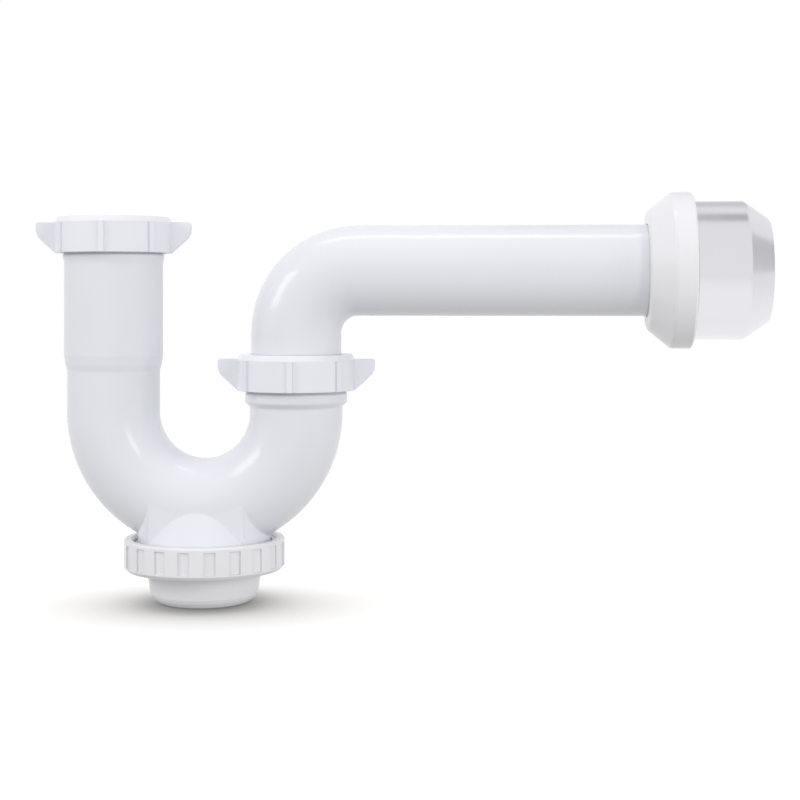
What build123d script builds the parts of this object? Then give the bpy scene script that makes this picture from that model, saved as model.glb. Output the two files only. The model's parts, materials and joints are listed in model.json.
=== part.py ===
from build123d import *

import math
import os

# P-trap with a cleanout, for a basin waste of 1-1/4 inch tube. Millimetres, +Z up.
# The origin is on the inlet axis, where the washer seat in the inlet socket ends
# and its straight bore begins. +X runs along the trap arm towards the wall.

# Tube that the slip joints take: the trap arm, and the tailpiece of the basin
TUBE_OD = 31.75
TUBE_WALL = 1.6
TUBE_PLAY = 0.2             # radial room of a tube in its socket
TUBE_END_PLAY = 0.2         # room between a tube's end and the stop in its socket

# Trap body
PIPE_OD = 32.6
PIPE_WALL = 1.7
BEND_RADIUS = 32.7          # centreline of the U
INLET_DEPTH = 41.9          # washer seat down to the stop in the socket
INLET_WALL = 1.3
INLET_STEP = 3.7            # eased step from the socket down to the pipe
INLET_LEG = 14.7            # straight pipe from the step down to the U
OUTLET_DEPTH = 8.5          # washer seat down to the stop in the socket
OUTLET_LEG = 3.5            # straight pipe from the U up to the stop
COLLAR_PROUD = 0.5          # collar under a nut, beyond the root of the thread
COLLAR_LENGTH = 3.6
COLLAR_TAPER = 1.6          # below the outlet collar, down to the pipe
COLLAR_GAP = 0.6            # room between a tightened nut and the collar
FLARE_LENGTH = 3.0          # taper from the inlet collar to the socket

# Slip joints at the inlet and at the union: seat, thread and nut
SEAT_DEPTH = 3.0
SEAT_FLARE = 0.75
SPIGOT_WALL = 1.35          # socket bore out to the root of the thread
THREAD_DEPTH = 0.8
THREAD_PLAY = 0.2
NUT_HEIGHT = 12.6
NUT_WALL = 2.25
NUT_LIP = 2.2
NUT_LIP_PLAY = 0.35         # radial room of the tube in the nut's lip
NUT_BEVEL = 1.9
RIB_COUNT = 3               # ribs between the wings, on each side
RIB_PITCH = 50.0            # degrees
RIB_WIDTH = 2.2
RIB_PROUD = 0.75
WING_REACH = 7.0            # beyond the nut's body
WING_THICKNESS = 3.0
WING_TOP = 1.7              # below the nut's top
WING_EDGE = 4.6             # upright outer edge
INLET_NUT_TURN = 2.0        # degrees at which each nut has come to rest
UNION_NUT_TURN = 1.5

# Tapered washers, each a push fit in its nut
WASHER_PLAY = 0.15          # radial room of the tube in an unpressed washer
WASHER_RIM = 2.7
WASHER_RIM_PLAY = 0.1
WASHER_GAP = 0.12           # between an unpressed taper and its seat
MOUTH_GAP = 0.6             # between the rim and the mouth of the socket

# Trap arm
ARM_LEG = 7.5               # upright tube between the union nut and the elbow
ELBOW_RADIUS = 21.9
ARM_REACH = 122.5           # union axis to the near face of the wall nut

# Cleanout boss
BOSS_RADIUS = 23.3          # root of its thread
BOSS_WALL = 2.0
BOSS_BELOW = 1.1            # end of the boss, below the underside of the U
APRON_INSET = 0.15          # flat aprons, inside the sides of the pipe
CONE_BELOW = 1.0            # top of the conical shoulder, below the axis of the U
CONE_HEIGHT = 10.8

# Cleanout ring, gasket and cup
CLEANOUT_THREAD = 1.4
CLEANOUT_PLAY = 0.3
RING_HEIGHT = 11.0
RING_WALL = 3.3
RING_LIP = 2.0
RING_LEAD = 0.8             # bevel at the mouth of its thread
FLUTE_COUNT = 20
FLUTE_SHARE = 0.44          # part of each pitch that is cut away
FLUTE_DEPTH = 0.6
FLUTE_TOP = 1.5             # plain band above the flutes
FLUTE_BOTTOM = 1.7          # plain band below the flutes
FLUTE_TURN = 14.4           # degrees
GASKET_THICKNESS = 1.35
CUP_FLANGE = 1.8
CUP_FLANGE_PLAY = 0.4
CUP_RADIUS = 20.3           # where it leaves the ring
CUP_PLAY = 0.4
CUP_TAPER = 9.5             # degrees
CUP_DEPTH = 11.55           # below the ring
CUP_WALL = 1.6

# Wall nut, seal and sleeve
WALL_NUT_FACE = 20.5        # radius of the near face
WALL_NUT_WALL = 3.0
WALL_NUT_CONE = 8.1
WALL_NUT_RIM = 7.2
WALL_NUT_LIP = 2.4
SLEEVE_RADIUS = 23.9
SLEEVE_WALL = 1.8
SLEEVE_THREAD = 0.7
SLEEVE_SKIRT = 17.2         # straight part that shows
SLEEVE_CHAMFER = 8.4
SLEEVE_GAP = 0.3            # between the nut's face and the sleeve's shoulder
SLEEVE_ENGAGE = 6.6         # threaded end inside the nut
ARM_END_RECESS = 6.0        # end of the arm, inside the end of the sleeve

# Eased edges
STEP_EASE = 1.6
COLLAR_EASE = 0.5
RING_TOP_EASE = 0.6
RING_EASE = 1.2
CUP_EASE = 2.4
WALL_NUT_EASE = 0.6
WALL_NUT_RIM_EASE = 0.7
SLEEVE_EASE = 0.4
WING_ROUND = 0.9
WING_EDGE_ROUND = 5.0

# Radii that follow
tube_r = TUBE_OD / 2
socket_r = tube_r + TUBE_PLAY
mouth_r = socket_r + SEAT_FLARE
root_r = socket_r + SPIGOT_WALL
collar_r = root_r + COLLAR_PROUD
nut_bore_r = root_r + THREAD_DEPTH + THREAD_PLAY
nut_r = nut_bore_r + NUT_WALL
lip_r = tube_r + NUT_LIP_PLAY
washer_r = nut_bore_r - WASHER_RIM_PLAY
washer_bore_r = tube_r + WASHER_PLAY
pipe_r = PIPE_OD / 2
pipe_bore_r = pipe_r - PIPE_WALL
boss_bore_r = BOSS_RADIUS - BOSS_WALL
ring_bore_r = BOSS_RADIUS + CLEANOUT_THREAD + CLEANOUT_PLAY
ring_r = ring_bore_r + RING_WALL
flange_r = ring_bore_r - CUP_FLANGE_PLAY
wall_bore_r = SLEEVE_RADIUS + THREAD_PLAY
wall_nut_r = wall_bore_r + WALL_NUT_WALL
sleeve_tube_r = socket_r + SLEEVE_WALL

# Heights in a slip joint, from the bottom of its seat
washer_low = SEAT_DEPTH + MOUTH_GAP
washer_high = washer_low + WASHER_RIM
nut_top = washer_high + NUT_LIP
nut_bottom = nut_top - NUT_HEIGHT
collar_top = nut_bottom - COLLAR_GAP

# Places of the joints in the trap
step_z = -INLET_DEPTH - INLET_STEP
bend_z = step_z - INLET_LEG
union_x = 2 * BEND_RADIUS
outlet_stop = bend_z + OUTLET_LEG
outlet_z = outlet_stop + OUTLET_DEPTH
arm_z = outlet_z + nut_top + ARM_LEG + ELBOW_RADIUS
wall_x = union_x + ARM_REACH
boss_end = bend_z - BEND_RADIUS - pipe_r - BOSS_BELOW
gasket_low = boss_end - GASKET_THICKNESS
flange_low = gasket_low - CUP_FLANGE
ring_low = flange_low - RING_LIP
ring_high = ring_low + RING_HEIGHT

# Lengths along the arm, from the near face of the wall nut
nut_far = WALL_NUT_CONE + WALL_NUT_RIM
sleeve_near = nut_far - SLEEVE_ENGAGE
sleeve_shoulder = nut_far + SLEEVE_GAP
chamfer_near = sleeve_shoulder + SLEEVE_SKIRT
sleeve_far = chamfer_near + SLEEVE_CHAMFER
arm_end = sleeve_far - ARM_END_RECESS

inlet_place = Pos(0, 0, 0)
outlet_place = Pos(union_x, 0, outlet_z)
cleanout_place = Pos(BEND_RADIUS, 0, 0)
wall_place = Pos(wall_x, 0, arm_z) * Rot(0, 90, 0)


def turned(*corners):
    """Solid of revolution about Z. A corner is (radius, height) or (radius, height, bevel)."""
    outline = []
    for index, (radius, height, *bevel) in enumerate(corners):
        corner = Vector(radius, height)
        if not bevel:
            outline.append(corner)
            continue
        for neighbour in (corners[index - 1], corners[(index + 1) % len(corners)]):
            side = Vector(*neighbour[:2]) - corner
            outline.append(corner + side.normalized() * bevel[0])
    return revolve(Plane.XZ * make_face(Polyline(*outline, close=True)), Axis.Z)


def bar_along(path, radius):
    """Round bar along a path."""
    start = Plane(origin=path @ 0, z_dir=path % 0)
    return sweep(start * Circle(radius), path)


def u_path(inlet_top, outlet_top):
    """Down the inlet leg, round the U and up the outlet leg."""
    down = Line((0, 0, inlet_top), (0, 0, bend_z))
    bend = ThreePointArc((0, 0, bend_z), (BEND_RADIUS, 0, bend_z - BEND_RADIUS), (union_x, 0, bend_z))
    up = Line((union_x, 0, bend_z), (union_x, 0, outlet_top))
    return Wire([down, bend, up])


def inlet_outside():
    """Long socket with a thread at its mouth and an eased step down to the pipe."""
    inlet_r = socket_r + INLET_WALL
    return turned(
        (0, step_z),
        (pipe_r, step_z),
        (inlet_r, -INLET_DEPTH, STEP_EASE),
        (inlet_r, collar_top - FLARE_LENGTH),
        (collar_r, collar_top),
        (root_r, collar_top),
        (root_r, SEAT_DEPTH),
        (0, SEAT_DEPTH),
    )


def outlet_outside():
    """Short threaded socket with a round collar, its seat at height 0."""
    collar_low = collar_top - COLLAR_LENGTH
    root_low = -OUTLET_DEPTH - COLLAR_TAPER
    return turned(
        (0, root_low),
        (pipe_r, root_low),
        (pipe_r, collar_low - COLLAR_TAPER),
        (collar_r, collar_low),
        (collar_r, collar_top - COLLAR_EASE),
        (root_r, collar_top),
        (root_r, SEAT_DEPTH),
        (0, SEAT_DEPTH),
    )


def socket_bore(depth):
    """Inside of a slip joint: its tapered washer seat, then the straight bore down to the stop."""
    return turned(
        (0, -depth),
        (socket_r, -depth),
        (socket_r, 0),
        (mouth_r, SEAT_DEPTH),
        (0, SEAT_DEPTH),
    )


def boss_form(radius, half_width, cone_top_r):
    """Round boss under the U with flat aprons, and the conical shoulders that stand out from them."""
    crown_z = bend_z - math.sqrt(BEND_RADIUS**2 - radius**2)
    crown = ThreePointArc((-radius, crown_z), (0, bend_z - BEND_RADIUS), (radius, crown_z))
    sides = Polyline((radius, crown_z), (radius, boss_end), (-radius, boss_end), (-radius, crown_z))
    apron = extrude(Plane.XZ * make_face([crown, sides]), half_width, both=True)
    column = turned((0, boss_end), (radius, boss_end), (radius, bend_z), (0, bend_z))
    cone_high = bend_z - BEND_RADIUS - CONE_BELOW
    shoulder = turned(
        (0, boss_end),
        (radius, boss_end),
        (radius, cone_high - CONE_HEIGHT),
        (cone_top_r, cone_high),
        (0, cone_high),
    )
    return cleanout_place * (apron & column) + cleanout_place * shoulder


def trap_body():
    """U-bend, moulded in one with its inlet socket, its outlet socket and the cleanout boss."""
    apron_y = pipe_r - APRON_INSET
    cone_wall = BOSS_WALL / math.cos(math.atan2(BOSS_RADIUS - pipe_r, CONE_HEIGHT))
    outside = bar_along(u_path(step_z, outlet_stop), pipe_r)
    outside += inlet_place * inlet_outside()
    outside += outlet_place * outlet_outside()
    outside += boss_form(BOSS_RADIUS, apron_y, pipe_r)
    outside -= bar_along(u_path(-INLET_DEPTH, outlet_stop), pipe_bore_r)
    outside -= boss_form(boss_bore_r, apron_y - PIPE_WALL, pipe_r - cone_wall)
    outside -= inlet_place * socket_bore(INLET_DEPTH)
    return outside - outlet_place * socket_bore(OUTLET_DEPTH)


def nut_rib(inner_r):
    """Upright rib on the side of a slip nut."""
    return Pos(inner_r, 0, nut_bottom) * Box(
        nut_r + RIB_PROUD - inner_r,
        RIB_WIDTH,
        NUT_HEIGHT - NUT_BEVEL,
        align=(Align.MIN, Align.CENTER, Align.MIN),
    )


def nut_wing(inner_r):
    """Finger wing on the side of a slip nut, widest near the top."""
    high = nut_top - WING_TOP
    tip_r = nut_r + WING_REACH
    outline = FilletPolyline(
        (inner_r, high),
        (tip_r, high),
        (tip_r, high - WING_EDGE),
        (nut_r, nut_bottom),
        (inner_r, nut_bottom),
        radius=[0, WING_ROUND, WING_EDGE_ROUND, 0, 0],
        close=True,
    )
    return extrude(Plane.XZ * make_face(outline), WING_THICKNESS / 2, both=True)


def slip_nut(turn):
    """Hand nut with two wings and ribs between them, its seat at height 0."""
    body = turned(
        (lip_r, nut_top),
        (nut_r - NUT_BEVEL / 2, nut_top),
        (nut_r, nut_top - NUT_BEVEL),
        (nut_r, nut_bottom),
        (nut_bore_r, nut_bottom),
        (nut_bore_r, washer_high),
        (lip_r, washer_high),
    )
    middle_r = (nut_r + nut_bore_r) / 2
    wing = nut_wing(middle_r)
    rib = nut_rib(middle_r)
    first_rib = 90 - RIB_PITCH * (RIB_COUNT - 1) / 2
    for side in (0, 180):
        body += Rot(0, 0, side) * wing
        for index in range(RIB_COUNT):
            body += Rot(0, 0, side + first_rib + RIB_PITCH * index) * rib
    return Rot(0, 0, turn) * body


def tapered_washer(rim_r, rim_low, rim_high):
    """Washer that a nut presses into a tapered seat. Heights are from the bottom of the seat."""
    slope = SEAT_FLARE / SEAT_DEPTH
    tip = (washer_bore_r + WASHER_GAP - socket_r) / slope
    return turned(
        (washer_bore_r, rim_high),
        (rim_r, rim_high),
        (rim_r, rim_low),
        (mouth_r - WASHER_GAP, SEAT_DEPTH),
        (washer_bore_r, tip),
    )


def slip_washer():
    """Washer of a slip joint, its seat at height 0."""
    return tapered_washer(washer_r, washer_low, washer_high)


def trap_arm():
    """Tube from the union, round the elbow and into the sleeve at the wall."""
    route = FilletPolyline(
        (union_x, 0, outlet_stop + TUBE_END_PLAY),
        (union_x, 0, arm_z),
        (wall_x + arm_end, 0, arm_z),
        radius=ELBOW_RADIUS,
    )
    return bar_along(route, tube_r) - bar_along(route, tube_r - TUBE_WALL)


def cleanout_ring():
    """Fluted ring nut that holds the cup on the boss."""
    lip_bore_r = CUP_RADIUS + CUP_PLAY
    body = turned(
        (ring_bore_r + RING_LEAD, ring_high),
        (ring_r, ring_high, RING_TOP_EASE),
        (ring_r, ring_low, RING_EASE),
        (lip_bore_r, ring_low),
        (lip_bore_r, flange_low),
        (ring_bore_r, flange_low),
        (ring_bore_r, ring_high - RING_LEAD),
    )
    pitch = 360 / FLUTE_COUNT
    flute = Pos(ring_r - FLUTE_DEPTH, 0, ring_low + FLUTE_BOTTOM) * Box(
        2 * FLUTE_DEPTH,
        2 * ring_r * math.sin(math.radians(pitch * FLUTE_SHARE / 2)),
        RING_HEIGHT - FLUTE_TOP - FLUTE_BOTTOM,
        align=(Align.MIN, Align.CENTER, Align.MIN),
    )
    flutes = [Rot(0, 0, FLUTE_TURN + pitch * index) * flute for index in range(FLUTE_COUNT)]
    return cleanout_place * (body - flutes)


def cleanout_gasket():
    """Flat ring between the boss and the flange of the cup."""
    gasket = turned(
        (boss_bore_r, gasket_low),
        (flange_r, gasket_low),
        (flange_r, boss_end),
        (boss_bore_r, boss_end),
    )
    return cleanout_place * gasket


def cleanout_cup():
    """Flanged cup that closes the cleanout and catches what settles."""
    bottom = ring_low - CUP_DEPTH
    slope = math.tan(math.radians(CUP_TAPER))
    base_r = CUP_RADIUS - CUP_DEPTH * slope
    cup = turned(
        (0, bottom),
        (base_r - CUP_EASE, bottom, CUP_EASE / 3),
        (base_r + CUP_EASE * slope, bottom + CUP_EASE, CUP_EASE / 3),
        (CUP_RADIUS, ring_low),
        (CUP_RADIUS, flange_low),
        (flange_r, flange_low),
        (flange_r, gasket_low),
        (CUP_RADIUS - CUP_WALL, gasket_low),
        (base_r - CUP_WALL, bottom + CUP_WALL),
        (0, bottom + CUP_WALL),
    )
    return cleanout_place * cup


def wall_nut():
    """Conical nut that clamps the sleeve on the arm."""
    nut = turned(
        (lip_r, 0),
        (WALL_NUT_FACE, 0, WALL_NUT_EASE),
        (wall_nut_r, WALL_NUT_CONE, WALL_NUT_EASE),
        (wall_nut_r, nut_far, WALL_NUT_RIM_EASE),
        (wall_bore_r, nut_far),
        (wall_bore_r, WALL_NUT_CONE),
        (sleeve_tube_r + WASHER_RIM_PLAY, WALL_NUT_LIP),
        (lip_r, WALL_NUT_LIP),
    )
    return wall_place * nut


def wall_seal():
    """Tapered seal between the wall nut's lip and the mouth of the sleeve."""
    seat = sleeve_near + SEAT_DEPTH
    seal = tapered_washer(sleeve_tube_r, washer_low, seat - WALL_NUT_LIP)
    return wall_place * Pos(0, 0, seat) * Rot(180, 0, 0) * seal


def wall_sleeve():
    """Bright sleeve that takes the arm and plugs into the drain in the wall."""
    thread_r = SLEEVE_RADIUS - SLEEVE_THREAD
    skirt_bore_r = thread_r - SLEEVE_WALL
    chamfer_slope = SLEEVE_CHAMFER / (SLEEVE_RADIUS - sleeve_tube_r)
    core_far = sleeve_far - 2 * SLEEVE_WALL
    core_near = core_far - (skirt_bore_r - sleeve_tube_r) * chamfer_slope
    sleeve = turned(
        (socket_r, sleeve_near + SEAT_DEPTH),
        (mouth_r, sleeve_near),
        (sleeve_tube_r, sleeve_near),
        (sleeve_tube_r, core_far),
        (skirt_bore_r, core_near),
        (skirt_bore_r, sleeve_near),
        (thread_r, sleeve_near),
        (thread_r, sleeve_shoulder),
        (SLEEVE_RADIUS, sleeve_shoulder),
        (SLEEVE_RADIUS, chamfer_near, SLEEVE_EASE),
        (sleeve_tube_r, sleeve_far),
        (socket_r, sleeve_far),
    )
    return wall_place * sleeve


nodes = {
    "trap_body": trap_body(),
    "inlet_nut": inlet_place * slip_nut(INLET_NUT_TURN),
    "inlet_washer": inlet_place * slip_washer(),
    "union_nut": outlet_place * slip_nut(UNION_NUT_TURN),
    "union_washer": outlet_place * slip_washer(),
    "trap_arm": trap_arm(),
    "cleanout_ring": cleanout_ring(),
    "cleanout_gasket": cleanout_gasket(),
    "cleanout_cup": cleanout_cup(),
    "wall_nut": wall_nut(),
    "wall_seal": wall_seal(),
    "wall_sleeve": wall_sleeve(),
}

os.makedirs("parts", exist_ok=True)
for name, shape in nodes.items():
    export_step(shape, f"parts/{name}.step")
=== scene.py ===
import json
import math

import bpy
from mathutils import Matrix, Vector


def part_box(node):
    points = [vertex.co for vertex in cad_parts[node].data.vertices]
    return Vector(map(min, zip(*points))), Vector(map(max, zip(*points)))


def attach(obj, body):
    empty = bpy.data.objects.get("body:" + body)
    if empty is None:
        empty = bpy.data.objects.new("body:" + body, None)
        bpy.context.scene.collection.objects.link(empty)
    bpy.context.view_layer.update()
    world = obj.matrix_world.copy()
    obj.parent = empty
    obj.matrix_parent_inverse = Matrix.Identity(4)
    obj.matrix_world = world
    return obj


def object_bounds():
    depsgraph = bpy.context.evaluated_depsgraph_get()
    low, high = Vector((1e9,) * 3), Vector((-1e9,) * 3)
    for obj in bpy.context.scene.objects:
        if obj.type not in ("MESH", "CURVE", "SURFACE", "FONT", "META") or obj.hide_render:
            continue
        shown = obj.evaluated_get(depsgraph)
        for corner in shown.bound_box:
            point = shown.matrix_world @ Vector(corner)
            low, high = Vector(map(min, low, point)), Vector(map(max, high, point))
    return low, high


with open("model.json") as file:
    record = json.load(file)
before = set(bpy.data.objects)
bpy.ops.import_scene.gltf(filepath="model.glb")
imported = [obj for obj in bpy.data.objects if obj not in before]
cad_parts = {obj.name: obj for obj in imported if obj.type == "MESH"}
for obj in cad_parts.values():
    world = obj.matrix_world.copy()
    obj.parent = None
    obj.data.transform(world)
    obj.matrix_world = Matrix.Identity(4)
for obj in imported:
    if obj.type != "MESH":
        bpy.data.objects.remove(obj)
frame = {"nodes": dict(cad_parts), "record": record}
cad_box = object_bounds()

MM = 0.001

# Camera: where it stands, how far it is turned, and how the picture is framed
IMAGE_SIZE = 800                    # pixels, both ways
SENSOR = 36.0
FOCAL_PIXELS = 1620.8
CAMERA_PLACE = Vector((144.3, -567.4, -19.4)) * MM
CAMERA_TURN = 0.0743                # radians to the left of straight ahead
CAMERA_TILT = 0.0018                # radians upwards
HORIZON_PIXEL = 293.3               # row of the picture at eye level

# Surfaces: linear colours
TRAP_COLOUR = (0.745, 0.757, 0.805)
NUT_COLOUR = (0.785, 0.80, 0.85)
CAP_COLOUR = (0.783, 0.784, 0.81)
CHROME_COLOUR = (0.72, 0.72, 0.762)
RUBBER_COLOUR = (0.02, 0.02, 0.02)
PLASTIC_TINT = 0.985                # darkest part of the plastic's mottling
RUBBER_TINT = 1.8                   # palest part of the rubber's mottling

# Surfaces: roughness, from the smoothest part to the dullest
TRAP_ROUGHNESS = (0.29, 0.36)
NUT_ROUGHNESS = (0.30, 0.38)
CAP_ROUGHNESS = (0.30, 0.40)
CHROME_ROUGHNESS = (0.20, 0.26)
RUBBER_ROUGHNESS = (0.55, 0.75)

# Surfaces: gloss of the plastics
PLASTIC_IOR = 1.45
PLASTIC_SPECULAR = 0.2
COAT_WEIGHT = 0.3
COAT_ROUGHNESS = 0.1

# Surfaces: radius of the soft edges
TRAP_EDGE = 1.2 * MM
NUT_EDGE = 0.4 * MM
CAP_EDGE = 0.3 * MM
CHROME_EDGE = 0.2 * MM
RUBBER_EDGE = 0.3 * MM
EDGE_SAMPLES = 6

# Surfaces: mottling and grain, each as the size of its features and the detail of its noise
PLASTIC_MOTTLE = (30 * MM, 0)
CHROME_HAZE = (15 * MM, 3)
RUBBER_MOTTLE = (7.5 * MM, 4)
NOISE_MIDDLE = (0.3, 0.7)           # part of a noise over which a look changes
FINE_GRAIN = (0.5 * MM, 2)
RUBBER_GRAIN = (0.25 * MM, 2)
GRAIN_STRENGTH = 0.25
PLASTIC_GRAIN_DEPTH = 0.02 * MM
CHROME_GRAIN_DEPTH = 0.005 * MM
RUBBER_GRAIN_DEPTH = 0.05 * MM

# Threads: root radius, depth of the ridge, and gap from its crest to the bore of the nut
SLIP_THREAD = (17.425 * MM, 0.8 * MM, 0.2 * MM)
BOSS_THREAD = (23.3 * MM, 1.4 * MM, 0.3 * MM)
SLEEVE_THREAD = (23.2 * MM, 0.7 * MM, 0.2 * MM)
SLIP_MOUTH = 7.1 * MM               # mouth of the socket, above the lower edge of its nut
SLIP_SOCKET_START = -0.4 * MM       # first ridge of the socket, above that edge
SLIP_NUT_START = 0.3 * MM           # first ridge of the nut, above that edge
BOSS_TOP_GAP = 0.3 * MM             # top of the ring to the last ridge of the boss
RING_TOP_GAP = 0.9 * MM             # top of the ring to its own last ridge
RING_START = 0.2 * MM               # end of the boss to the ring's first ridge
WALL_NUT_INSET = 0.2 * MM           # ridge of the wall nut, inside both ends of the sleeve's ridge

# Threads: form of a ridge
RIDGE_BASE = 0.46                   # of the pitch
RIDGE_CREST = 0.16                  # of the pitch
RIDGE_SINK = 0.05 * MM              # how far a ridge is let into its wall
RIDGE_FADE = 0.12                   # of a turn, at each end
RIDGE_LEAST = 0.05                  # of the full height, at the very ends
RIDGE_STEPS = 48                    # per turn
RIDGE_CORNERS = 4                   # of its profile

# Stage
WHITE = (1, 1, 1)
WHITE_GLOW = 1.0                    # strength that shows as plain white
AMBIENT = 0.45                      # strength of the world as a light
FLOOR_SIZE = 60.0
FLOOR_COLOUR = (0.12, 0.119, 0.117)
FLOOR_BOUNCE = (0.15, 0.15, 0.148)  # what the floor throws back on the object
FLOOR_LIFT = 0.36                   # even light from below, as from a light table
FLOOR_GLOW = 1.0                    # added where it is seen, less where the object stands close by, as a painted contact shadow
GLOW_COLOUR = (1.0, 0.993, 0.975)
FLOOR_LIT = 0.28                    # distance from the cup to which the floor takes its real and painted shadows
FLOOR_WHITE = 0.55                  # distance from which it is plain white
CONTACT_REACH = 58 * MM             # how near the object dims the floor's glow, as painted shadow
CONTACT_SHARE = 0.11                # of the glow that is left right under it, in the painted shadow
CONTACT_RANGE = (0.1, 0.955)        # openness of the floor where the painted shadow is full, and where it ends
CONTACT_LEAN = (-0.07, 0.36, 1)     # the painted shadow falls a little to the front


# Surfaces
def new_material(name):
    """Empty node material, its tree, and the socket that takes its surface."""
    material = bpy.data.materials.new(name)
    material.use_nodes = True
    tree = material.node_tree
    tree.nodes.clear()
    output = tree.nodes.new("ShaderNodeOutputMaterial")
    return material, tree, output.inputs["Surface"]


def principled_material(name):
    """Node material, its tree, and the principled shader on it."""
    material, tree, surface = new_material(name)
    shader = tree.nodes.new("ShaderNodeBsdfPrincipled")
    tree.links.new(shader.outputs["BSDF"], surface)
    return material, tree, shader


def noise(tree, size, detail):
    """Noise over the object's own coordinates, with features of about one size."""
    place = tree.nodes.new("ShaderNodeTexCoord")
    texture = tree.nodes.new("ShaderNodeTexNoise")
    texture.inputs["Scale"].default_value = 1 / size
    texture.inputs["Detail"].default_value = detail
    tree.links.new(place.outputs["Object"], texture.inputs["Vector"])
    return texture.outputs["Fac"]


def ramp(tree, factor, low, high):
    """Colour that runs from low to high over the middle of a noise."""
    node = tree.nodes.new("ShaderNodeValToRGB")
    for element, position, colour in zip(node.color_ramp.elements, NOISE_MIDDLE, (low, high)):
        element.position = position
        element.color = (*colour, 1)
    tree.links.new(factor, node.inputs["Fac"])
    return node.outputs["Color"]


def spread(tree, value, span, low, high, interpolation="LINEAR"):
    """Number that runs from low to high while a value runs over its span."""
    node = tree.nodes.new("ShaderNodeMapRange")
    node.interpolation_type = interpolation
    node.inputs["From Min"].default_value = span[0]
    node.inputs["From Max"].default_value = span[1]
    node.inputs["To Min"].default_value = low
    node.inputs["To Max"].default_value = high
    tree.links.new(value, node.inputs["Value"])
    return node.outputs["Result"]


def soft_edges(tree, shader, radius, grain, depth):
    """Rounds the look of sharp edges, and adds the fine grain of the surface."""
    bevel = tree.nodes.new("ShaderNodeBevel")
    bevel.samples = EDGE_SAMPLES
    bevel.inputs["Radius"].default_value = radius
    bump = tree.nodes.new("ShaderNodeBump")
    bump.inputs["Strength"].default_value = GRAIN_STRENGTH
    bump.inputs["Distance"].default_value = depth
    tree.links.new(noise(tree, *grain), bump.inputs["Height"])
    tree.links.new(bevel.outputs["Normal"], bump.inputs["Normal"])
    tree.links.new(bump.outputs["Normal"], shader.inputs["Normal"])


def plastic(name, colour, roughness, edge):
    """Moulded white plastic: faintly mottled, with an uneven gloss and soft edges."""
    material, tree, shader = principled_material(name)
    mottle = noise(tree, *PLASTIC_MOTTLE)
    dark = [channel * PLASTIC_TINT for channel in colour]
    tree.links.new(ramp(tree, mottle, dark, colour), shader.inputs["Base Color"])
    tree.links.new(spread(tree, mottle, NOISE_MIDDLE, *roughness), shader.inputs["Roughness"])
    shader.inputs["IOR"].default_value = PLASTIC_IOR
    shader.inputs["Specular IOR Level"].default_value = PLASTIC_SPECULAR
    shader.inputs["Coat Weight"].default_value = COAT_WEIGHT
    shader.inputs["Coat Roughness"].default_value = COAT_ROUGHNESS
    soft_edges(tree, shader, edge, FINE_GRAIN, PLASTIC_GRAIN_DEPTH)
    return material


def chrome(name):
    """Bright plated metal with faint haze."""
    material, tree, shader = principled_material(name)
    shader.inputs["Base Color"].default_value = (*CHROME_COLOUR, 1)
    shader.inputs["Metallic"].default_value = 1.0
    haze = noise(tree, *CHROME_HAZE)
    tree.links.new(spread(tree, haze, NOISE_MIDDLE, *CHROME_ROUGHNESS), shader.inputs["Roughness"])
    soft_edges(tree, shader, CHROME_EDGE, FINE_GRAIN, CHROME_GRAIN_DEPTH)
    return material


def rubber(name):
    """Dull black rubber with a fine grain."""
    material, tree, shader = principled_material(name)
    mottle = noise(tree, *RUBBER_MOTTLE)
    pale = [channel * RUBBER_TINT for channel in RUBBER_COLOUR]
    tree.links.new(ramp(tree, mottle, RUBBER_COLOUR, pale), shader.inputs["Base Color"])
    tree.links.new(spread(tree, mottle, NOISE_MIDDLE, *RUBBER_ROUGHNESS), shader.inputs["Roughness"])
    soft_edges(tree, shader, RUBBER_EDGE, RUBBER_GRAIN, RUBBER_GRAIN_DEPTH)
    return material


looks = {
    "trap_plastic": plastic("trap_plastic", TRAP_COLOUR, TRAP_ROUGHNESS, TRAP_EDGE),
    "nut_plastic": plastic("nut_plastic", NUT_COLOUR, NUT_ROUGHNESS, NUT_EDGE),
    "cap_plastic": plastic("cap_plastic", CAP_COLOUR, CAP_ROUGHNESS, CAP_EDGE),
    "seal_rubber": rubber("seal_rubber"),
    "bright_metal": chrome("bright_metal"),
}

for part in frame["record"]["subparts"]:
    node = frame["nodes"][part["node"]]
    node.data.materials.clear()
    node.data.materials.append(looks[part["material_slot"]])


# Threads, each a helical ridge on its wall
def middle(node):
    """Middle of a node's box."""
    low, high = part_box(node)
    return (low + high) / 2


def ridge_profile(wall, tip, pitch, fade):
    """Corners of the ridge across its wall, as (radius, offset along the axis)."""
    crest = wall + (tip - wall) * fade
    sunk = wall - math.copysign(RIDGE_SINK, tip - wall)
    base = RIDGE_BASE * pitch / 2
    top = RIDGE_CREST * pitch / 2
    return [(sunk, -base), (crest, -top), (crest, top), (sunk, base)]


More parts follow.
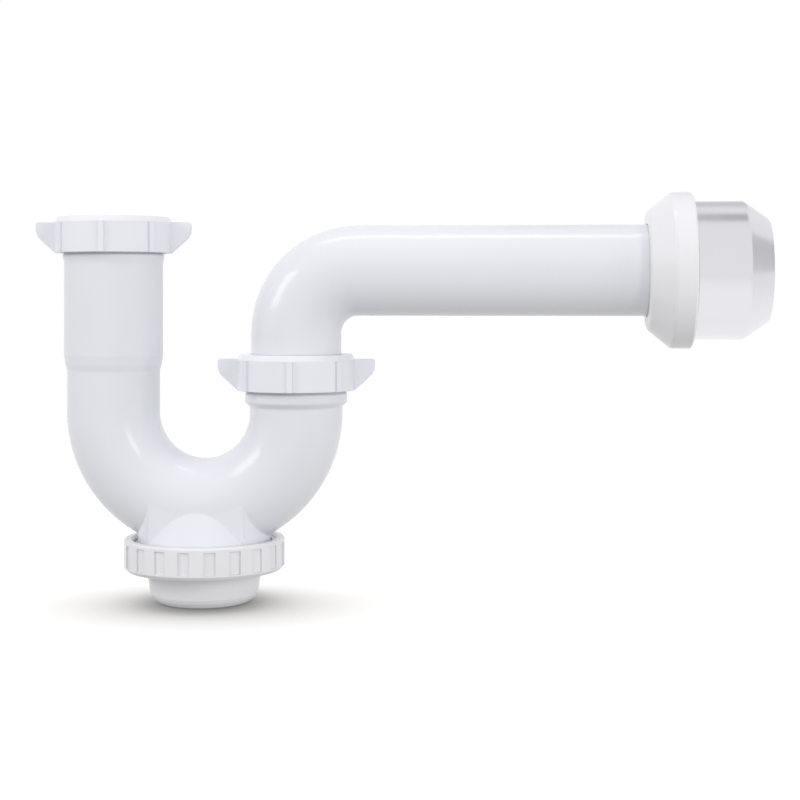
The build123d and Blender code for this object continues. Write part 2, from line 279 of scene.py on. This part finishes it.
def thread(name, body, slot, place, wall, tip, start, end, pitch, phase):
    """Right-handed ridge from a wall radius to a tip radius, between two points along its axis."""
    turns = (end - start - RIDGE_BASE * pitch) / pitch
    steps = round(turns * RIDGE_STEPS)
    low = start + RIDGE_BASE * pitch / 2
    corners = []
    faces = []
    for step in range(steps + 1):
        turn = step / RIDGE_STEPS
        fade = min(1, turn / RIDGE_FADE, (turns - turn) / RIDGE_FADE)
        along = low + turn * pitch
        angle = 2 * math.pi * ((along - phase) / pitch)
        for radius, offset in ridge_profile(wall, tip, pitch, max(fade, RIDGE_LEAST)):
            point = Vector((radius * math.cos(angle), radius * math.sin(angle), along + offset))
            corners.append(place @ point)
        if step:
            after = RIDGE_CORNERS * step
            before = after - RIDGE_CORNERS
            for side in range(RIDGE_CORNERS):
                other = (side + 1) % RIDGE_CORNERS
                faces.append((before + side, before + other, after + other, after + side))
    faces.append(tuple(reversed(range(RIDGE_CORNERS))))
    faces.append(tuple(RIDGE_CORNERS * steps + side for side in range(RIDGE_CORNERS)))
    mesh = bpy.data.meshes.new(name)
    mesh.from_pydata(corners, [], faces)
    mesh.validate()
    piece = bpy.data.objects.new(name, mesh)
    bpy.context.collection.objects.link(piece)
    mesh.materials.append(looks[slot])
    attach(piece, body)


def thread_pair(name, male, nut, place, sizes, male_span, nut_span, pitch):
    """Ridge on a socket and the matching one in its nut, half a pitch apart."""
    root, depth, gap = sizes
    bore = root + depth + gap
    thread(name + "_thread", *male, place, root, root + depth, *male_span, pitch, 0)
    thread(name + "_nut_thread", *nut, place, bore, bore - depth, *nut_span, pitch, pitch / 2)


pitches = {
    coupling["follows"]: 2 * math.pi * coupling["ratio"]
    for coupling in frame["record"]["behaviour"]["couplings"]
}


def slip_threads(name, washer, nut):
    """Threads of a slip joint: the socket's, and its nut's."""
    axis = middle(washer)
    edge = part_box(nut)[0].z
    mouth = edge + SLIP_MOUTH
    thread_pair(
        name,
        ("trap", "trap_plastic"),
        (nut, "nut_plastic"),
        Matrix.Translation((axis.x, axis.y, 0)),
        SLIP_THREAD,
        (edge + SLIP_SOCKET_START, mouth),
        (edge + SLIP_NUT_START, mouth),
        pitches[nut + "_turn"],
    )


slip_threads("inlet", "inlet_washer", "inlet_nut")
slip_threads("union", "union_washer", "union_nut")

boss_axis = middle("cleanout_gasket")
boss_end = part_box("cleanout_gasket")[1].z
ring_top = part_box("cleanout_ring")[1].z
thread_pair(
    "boss",
    ("trap", "trap_plastic"),
    ("cleanout_ring", "cap_plastic"),
    Matrix.Translation((boss_axis.x, boss_axis.y, 0)),
    BOSS_THREAD,
    (boss_end, ring_top - BOSS_TOP_GAP),
    (boss_end + RING_START, ring_top - RING_TOP_GAP),
    pitches["cleanout_turn"],
)

sleeve_middle = middle("wall_sleeve")
sleeve_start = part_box("wall_sleeve")[0].x
nut_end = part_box("wall_nut")[1].x
along_x = Matrix(((0, 0, 1, 0), (1, 0, 0, 0), (0, 1, 0, 0), (0, 0, 0, 1)))
thread_pair(
    "sleeve",
    ("wall_sleeve", "bright_metal"),
    ("wall_nut", "cap_plastic"),
    Matrix.Translation((0, sleeve_middle.y, sleeve_middle.z)) @ along_x,
    SLEEVE_THREAD,
    (sleeve_start, nut_end),
    (sleeve_start + WALL_NUT_INSET, nut_end - WALL_NUT_INSET),
    pitches["wall_nut_turn"],
)


# Stage: floor and world
def seen_directly(tree):
    """1 for what the camera sees, straight or in a reflection or through glass, and 0 for lighting."""
    rays = tree.nodes.new("ShaderNodeLightPath")
    total = rays.outputs["Is Camera Ray"]
    for kind in ("Is Glossy Ray", "Is Transmission Ray"):
        largest = tree.nodes.new("ShaderNodeMath")
        largest.operation = "MAXIMUM"
        tree.links.new(total, largest.inputs[0])
        tree.links.new(rays.outputs[kind], largest.inputs[1])
        total = largest.outputs["Value"]
    return total


def matt(tree, colour):
    """Matt shader of one colour."""
    shader = tree.nodes.new("ShaderNodeBsdfDiffuse")
    shader.inputs["Color"].default_value = (*colour, 1)
    return shader.outputs["BSDF"]


def glow(tree, colour, strength):
    """Glowing shader of one colour."""
    shader = tree.nodes.new("ShaderNodeEmission")
    shader.inputs["Color"].default_value = (*colour, 1)
    shader.inputs["Strength"].default_value = strength
    return shader.outputs["Emission"]


def added(tree, first, second):
    """Both shaders together."""
    node = tree.nodes.new("ShaderNodeAddShader")
    tree.links.new(first, node.inputs[0])
    tree.links.new(second, node.inputs[1])
    return node.outputs["Shader"]


def mixed(tree, factor, first, second):
    """First shader where the factor is 0, second where it is 1."""
    node = tree.nodes.new("ShaderNodeMixShader")
    tree.links.new(factor, node.inputs["Fac"])
    tree.links.new(first, node.inputs[1])
    tree.links.new(second, node.inputs[2])
    return node.outputs["Shader"]


def far_out(tree):
    """0 on the floor around the cup, and 1 where the floor is plain white."""
    place = tree.nodes.new("ShaderNodeTexCoord")
    distance = tree.nodes.new("ShaderNodeVectorMath")
    distance.operation = "LENGTH"
    tree.links.new(place.outputs["Object"], distance.inputs[0])
    return spread(tree, distance.outputs["Value"], (FLOOR_LIT, FLOOR_WHITE), 0, 1, "SMOOTHSTEP")


def clear_of_object(tree):
    """Mask of the painted contact shadow: 0 on the floor right under the object, and 1 where nothing
    stands close by.
    """
    lean = tree.nodes.new("ShaderNodeCombineXYZ")
    for axis, share in zip("XYZ", Vector(CONTACT_LEAN).normalized()):
        lean.inputs[axis].default_value = share
    contact = tree.nodes.new("ShaderNodeAmbientOcclusion")
    contact.inputs["Distance"].default_value = CONTACT_REACH
    tree.links.new(lean.outputs["Vector"], contact.inputs["Normal"])
    return spread(tree, contact.outputs["AO"], CONTACT_RANGE, 0, 1)


def floor_material():
    """Pale floor that takes the object's real shadow in its faint matt part, with a painted contact
    shadow that dims its glow near the object, and turns plain white further out.
    """
    material, tree, surface = new_material("floor")
    # painted contact shadow: the floor's glow, dimmed where the object stands close by
    painted_shadow_glow = glow(tree, GLOW_COLOUR, FLOOR_GLOW * CONTACT_SHARE)
    clear = glow(tree, GLOW_COLOUR, FLOOR_GLOW)
    near = added(tree, matt(tree, FLOOR_COLOUR), mixed(tree, clear_of_object(tree), painted_shadow_glow, clear))
    seen = mixed(tree, far_out(tree), near, glow(tree, WHITE, WHITE_GLOW))
    lighting = added(tree, matt(tree, FLOOR_BOUNCE), glow(tree, GLOW_COLOUR, FLOOR_LIFT))
    tree.links.new(mixed(tree, seen_directly(tree), lighting, seen), surface)
    material.cycles.emission_sampling = "NONE"
    return material


floor_place = middle("cleanout_cup")
floor_place.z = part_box("cleanout_cup")[0].z
bpy.ops.mesh.primitive_plane_add(size=FLOOR_SIZE, location=floor_place)
floor = bpy.context.object
floor.name = "floor"
floor.data.materials.append(floor_material())

scene = bpy.context.scene
scene.view_settings.view_transform = "Standard"

world = bpy.data.worlds.new("studio")
scene.world = world
world.use_nodes = True
tree = world.node_tree
background = tree.nodes["Background"]
background.inputs["Color"].default_value = (*WHITE, 1)
strength = spread(tree, seen_directly(tree), (0, 1), AMBIENT, WHITE_GLOW)
tree.links.new(strength, background.inputs["Strength"])

# Stage: lamps and cards. The bright sleeve shows the white studio and the cards, and no lamps
bright_parts = bpy.data.collections.new("bright_parts")
bright_parts.objects.link(frame["nodes"]["wall_sleeve"])
bright_parts.collection_objects[0].light_linking.link_state = "EXCLUDE"


def facing(place, target):
    """Turn of a lamp or card at a place towards its target."""
    return (target - place).to_track_quat("-Z", "Y").to_euler()


def lamp(name, target, offset, size, energy, mirrored):
    """Rectangular soft lamp that points at a target, and may show in the gloss of the plastic."""
    data = bpy.data.lights.new(name, "AREA")
    data.shape = "RECTANGLE"
    data.size, data.size_y = size
    data.energy = energy
    light = bpy.data.objects.new(name, data)
    light.location = target + Vector(offset)
    light.rotation_euler = facing(light.location, target)
    light.visible_glossy = mirrored
    bpy.context.collection.objects.link(light)
    if mirrored:
        light.light_linking.receiver_collection = bright_parts


def card(name, target, offset, size, shade):
    """Grey card that points at a target, and shows only in reflections."""
    place = target + Vector(offset)
    bpy.ops.mesh.primitive_plane_add(size=1, location=place, rotation=facing(place, target))
    piece = bpy.context.object
    piece.name = name
    piece.scale = (*size, 1)
    material, tree, surface = new_material(name)
    tree.links.new(glow(tree, WHITE, shade), surface)
    piece.data.materials.append(material)
    for kind in ("camera", "diffuse", "transmission", "volume_scatter", "shadow"):
        setattr(piece, "visible_" + kind, False)


object_middle = (Vector(cad_box[0]) + Vector(cad_box[1])) / 2
under_strip = Vector((-0.01, 0, 0))
under_card = Vector((0.42, 0.07, 0))

# Name, target, offset from it, width and height, watts, and whether it is mirrored
lamps = [
    ("overhead", object_middle, (0, 0, 0.95), (1.4, 1.4), 2.0, False),
    ("strip", under_strip, (0, 0.05, 0.7), (0.5, 0.12), 1.0, True),
    ("front", object_middle, (-0.25, -1.05, 0.35), (0.9, 0.9), 2.9, False),
    ("fill", object_middle, (0.65, -0.85, 0.15), (0.9, 0.9), 0.7, False),
    ("left", object_middle, (-0.95, -0.35, 0.08), (0.6, 0.3), 0.3, False),
    ("right", object_middle, (0.95, -0.28, 0.08), (0.6, 0.3), 2.5, False),
    ("left_spot", object_middle, (-0.80, -0.42, 0.44), (0.32, 0.42), 2.5, True),
    ("right_spot", object_middle, (0.6, -0.76, 0.3), (0.2, 0.34), 1.5, True),
    ("back", object_middle, (-0.1, 1.05, 0.25), (0.9, 0.9), 4.6, False),
]
for row in lamps:
    lamp(*row)

# Name, target, offset from it, width and height, and shade of grey
cards = [
    ("overhead_card", under_card, (0, 0, 0.7), (0.34, 0.23), 0.53),
    ("back_card", sleeve_middle, (0.1, 0.55, 0.44), (0.4, 0.36), 0.74),
    ("side_card", sleeve_middle, (1.0, -0.05, 0.28), (0.5, 0.66), 0.66),
]
for row in cards:
    card(*row)

# Camera
camera_data = bpy.data.cameras.new("camera")
camera_data.sensor_width = SENSOR
camera_data.lens = FOCAL_PIXELS / IMAGE_SIZE * SENSOR
camera_data.shift_y = (HORIZON_PIXEL - IMAGE_SIZE / 2) / IMAGE_SIZE
camera = bpy.data.objects.new("camera", camera_data)
camera.location = CAMERA_PLACE
camera.rotation_euler = (math.pi / 2 + CAMERA_TILT, 0, CAMERA_TURN)
bpy.context.collection.objects.link(camera)
scene.camera = camera
